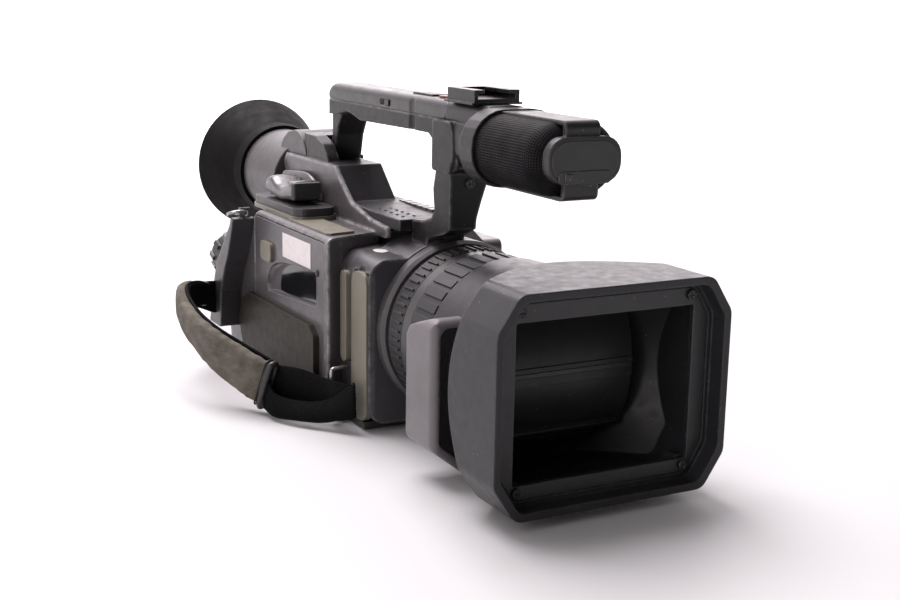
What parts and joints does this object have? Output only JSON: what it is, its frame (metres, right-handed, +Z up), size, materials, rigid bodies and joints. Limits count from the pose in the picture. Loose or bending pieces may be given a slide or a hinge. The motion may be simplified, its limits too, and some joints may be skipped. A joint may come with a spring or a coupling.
{
  "type": "handheld camcorder",
  "caption": "Handheld video camcorder with a boxed lens hood, carrying handle with microphone, hand strap, tilting viewfinder and folding side display.",
  "frame": {"origin": "mouth of the tripod socket on the underside of the base plate, straight below the lens axis", "axes": "+Z up; +Y from the lens towards the eyecup, parallel to the lens axis; +X towards the folding display, so the hand strap is on -X"},
  "size_m": [0.1569, 0.388, 0.1629],
  "materials": {
    "body_grey": "fine-grained matte moulding, worn silvery at the edges",
    "dark_grey": "fine-grained matte moulding",
    "hood_black": "matte, lightly scuffed",
    "olive": "satin moulding",
    "barrel_grey": "satin paint",
    "ring_rubber": "moulded ribs",
    "steel": "satin",
    "dark_metal": "blackened, satin",
    "black_plastic": "matte",
    "smoked": "glossy, dark infrared-pass panel",
    "lens_glass": "coated",
    "clear_window": "clear",
    "brass": "turned",
    "board": "lacquered circuit board",
    "mesh": "woven wire mesh, black",
    "suede": "brushed synthetic suede",
    "webbing": "ribbed nylon webbing",
    "eye_rubber": "soft matte rubber",
    "red_button": "satin",
    "key_silver": "satin",
    "screen": "glossy panel"
  },
  "bodies": {
    "chassis": {"main_shell": "body_grey", "grip_shell": "body_grey", "front_block": "dark_grey", "base_plate": "dark_grey", "tripod_bush": "steel", "top_deck": "dark_grey", "top_plate": "olive", "strap_frame": "dark_grey", "rear_panel": "dark_grey", "handle_lower": "dark_grey", "handle_upper": "body_grey", "accessory_shoe": "dark_metal", "mic_holder": "dark_grey", "mic_grille": "mesh", "mic_frame": "dark_grey", "mic_capsules": "brass", "lens_barrel": "barrel_grey", "lens_flange": "barrel_grey", "lens_elements": "lens_glass", "sensor_block": "lens_glass", "hood_shell": "hood_black", "hood_mask": "hood_black", "casing_screws": "dark_metal", "emitter_housing": "body_grey", "emitter_window": "smoked", "circuit_board": "board", "strap_pad": "suede", "strap_webbing": "webbing", "strap_rings": "steel", "zoom_base": "dark_grey", "lcd_hinge_pin": "steel"},
    "head_drum": {"head_drum": "steel"},
    "zoom_ring": {"zoom_ring": "ring_rubber"},
    "focus_ring": {"focus_ring": "ring_rubber"},
    "shutter_lever": {"shutter_lever": "black_plastic"},
    "shutter_upper": {"shutter_upper": "hood_black"},
    "shutter_lower": {"shutter_lower": "hood_black"},
    "cassette_door": {"cassette_lid": "body_grey", "lid_window": "clear_window", "palm_pad": "olive"},
    "eject_button": {"eject_button": "olive"},
    "tape_carrier": {"cassette_carrier": "steel", "cassette": "black_plastic"},
    "viewfinder": {"vf_tube": "body_grey", "eyecup": "eye_rubber", "eyepiece_lens": "lens_glass"},
    "display": {"lcd_panel": "body_grey", "lcd_screen": "screen"},
    "battery": {"battery_pack": "black_plastic"},
    "battery_release": {"battery_release": "black_plastic"},
    "mode_dial": {"mode_dial": "dark_grey"},
    "rec_button": {"rec_button": "red_button"},
    "zoom_rocker": {"zoom_rocker": "key_silver"},
    "photo_button": {"photo_button": "key_silver"},
    "front_socket_cover": {"jack_cover_front": "olive"},
    "rear_socket_cover": {"jack_cover_rear": "olive"},
    "deck_keys": {"deck_keys": "key_silver"},
    "handle_rec_button": {"handle_rec_button": "red_button"},
    "handle_zoom_rocker": {"handle_zoom_rocker": "dark_grey"},
    "hold_switch": {"hold_switch": "black_plastic"}
  },
  "joints": [
    {"name": "drum_spin", "type": "hinge", "parent": "chassis", "child": "head_drum", "pos_m": [-0.02, 0.053, 0.044], "axis": [1, 0, 0], "continuous": true},
    {"name": "focus_turn", "type": "hinge", "parent": "chassis", "child": "focus_ring", "pos_m": [0, -0.067, 0.0493], "axis": [0, 1, 0], "continuous": true},
    {"name": "zoom_ring_turn", "type": "hinge", "parent": "chassis", "child": "zoom_ring", "pos_m": [0, -0.045, 0.0493], "axis": [0, 1, 0], "continuous": true},
    {"name": "shutter_lever_turn", "type": "hinge", "parent": "chassis", "child": "shutter_lever", "pos_m": [0.055, -0.142, 0.0493], "axis": [1, 0, 0], "range_deg": [0, 40]},
    {"name": "shutter_upper_open", "type": "hinge", "parent": "chassis", "child": "shutter_upper", "pos_m": [0, -0.1195, 0.0755], "axis": [-1, 0, 0], "range_deg": [0, 80]},
    {"name": "shutter_lower_open", "type": "hinge", "parent": "chassis", "child": "shutter_lower", "pos_m": [0, -0.1195, 0.0231], "axis": [1, 0, 0], "range_deg": [0, 80]},
    {"name": "lid_open", "type": "hinge", "parent": "chassis", "child": "cassette_door", "pos_m": [-0.0492, 0.05, 0.0105], "axis": [0, -1, 0], "range_deg": [0, 20]},
    {"name": "eject_press", "type": "slide", "parent": "cassette_door", "child": "eject_button", "axis": [1, 0, 0], "range_m": [0, 0.0012]},
    {"name": "carrier_tilt", "type": "hinge", "parent": "chassis", "child": "tape_carrier", "pos_m": [-0.03, 0.05, 0.017], "axis": [0, -1, 0], "range_deg": [0, 12]},
    {"name": "viewfinder_tilt", "type": "hinge", "parent": "chassis", "child": "viewfinder", "pos_m": [-0.0044, 0.122, 0.112], "axis": [1, 0, 0], "range_deg": [0, 90]},
    {"name": "display_open", "type": "hinge", "parent": "chassis", "child": "display", "pos_m": [0.049, 0.017, 0.047], "axis": [0, 0, -1], "range_deg": [0, 90]},
    {"name": "battery_slide", "type": "slide", "parent": "chassis", "child": "battery", "axis": [0, 0, 1], "range_m": [0, 0.012]},
    {"name": "battery_release_press", "type": "slide", "parent": "chassis", "child": "battery_release", "axis": [0, -1, 0], "range_m": [0, 0.0015]},
    {"name": "mode_turn", "type": "hinge", "parent": "chassis", "child": "mode_dial", "pos_m": [-0.049, 0.1315, 0.053], "axis": [0, 0.9171, 0.3987], "range_deg": [-40, 70]},
    {"name": "rec_press", "type": "slide", "parent": "mode_dial", "child": "rec_button", "axis": [0, -0.9171, -0.3987], "range_m": [0, 0.001]},
    {"name": "zoom_rocker_tilt", "type": "hinge", "parent": "chassis", "child": "zoom_rocker", "pos_m": [-0.035, 0.086, 0.0983], "axis": [1, 0, 0], "range_deg": [-6, 6]},
    {"name": "photo_press", "type": "slide", "parent": "chassis", "child": "photo_button", "axis": [0, 0, -1], "range_m": [0, 0.001]},
    {"name": "front_cover_open", "type": "hinge", "parent": "chassis", "child": "front_socket_cover", "pos_m": [-0.044, -0.027, 0.04], "axis": [0, 0, 1], "range_deg": [0, 30]},
    {"name": "rear_cover_open", "type": "hinge", "parent": "chassis", "child": "rear_socket_cover", "pos_m": [-0.044, -0.0074, 0.05], "axis": [0, 0, 1], "range_deg": [0, 90]},
    {"name": "deck_keys_press", "type": "slide", "parent": "chassis", "child": "deck_keys", "axis": [0, 0, -1], "range_m": [0, 0.0006]},
    {"name": "handle_rec_press", "type": "slide", "parent": "chassis", "child": "handle_rec_button", "axis": [0, 0, -1], "range_m": [0, 0.001]},
    {"name": "handle_zoom_tilt", "type": "hinge", "parent": "chassis", "child": "handle_zoom_rocker", "pos_m": [-0.0044, -0.01, 0.156], "axis": [1, 0, 0], "range_deg": [-5, 5]},
    {"name": "hold_slide", "type": "slide", "parent": "chassis", "child": "hold_switch", "axis": [0, 1, 0], "range_m": [0, 0.0035]}
  ],
  "couplings": [
    {"joint": "shutter_upper_open", "follows": "shutter_lever_turn", "ratio": 2},
    {"joint": "shutter_lower_open", "follows": "shutter_lever_turn", "ratio": 2},
    {"joint": "carrier_tilt", "follows": "lid_open", "ratio": 0.6}
  ]
}
